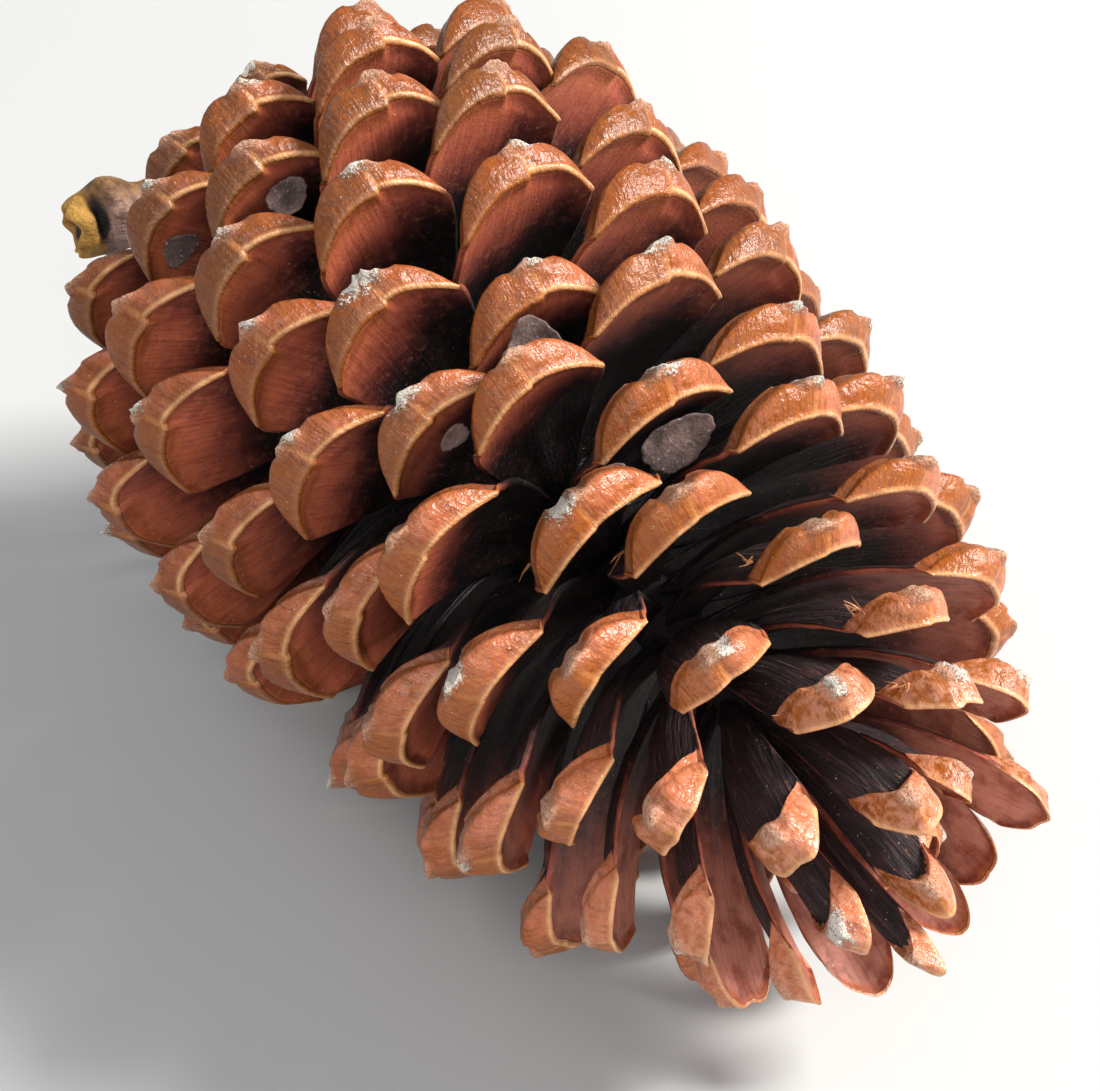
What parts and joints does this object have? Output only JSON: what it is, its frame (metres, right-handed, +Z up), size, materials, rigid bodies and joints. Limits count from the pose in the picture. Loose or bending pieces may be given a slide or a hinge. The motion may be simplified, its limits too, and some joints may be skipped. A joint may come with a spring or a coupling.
{
  "type": "pine cone",
  "caption": "Open woody pine cone lying on its side, broad spiral scales with thick caps, a broken stalk stump and dry seed flakes.",
  "frame": {"origin": "centre of the bounding box's bottom face, on the surface the cone lies on", "axes": "+Z up, +X along the cone from its stalk end to its apex, +Y across it; the cone rests on three scale tips"},
  "size_m": [0.1476, 0.0784, 0.0802],
  "materials": {
    "pine_wood": "satin, smooth on the caps and dull on the backs",
    "seed_husk": "matte"
  },
  "bodies": {
    "root": {"cone": "pine_wood", "seed_flake_1": "seed_husk", "seed_flake_2": "seed_husk", "seed_flake_3": "seed_husk", "seed_flake_4": "seed_husk", "seed_flake_5": "seed_husk", "seed_flake_6": "seed_husk"}
  },
  "joints": []
}
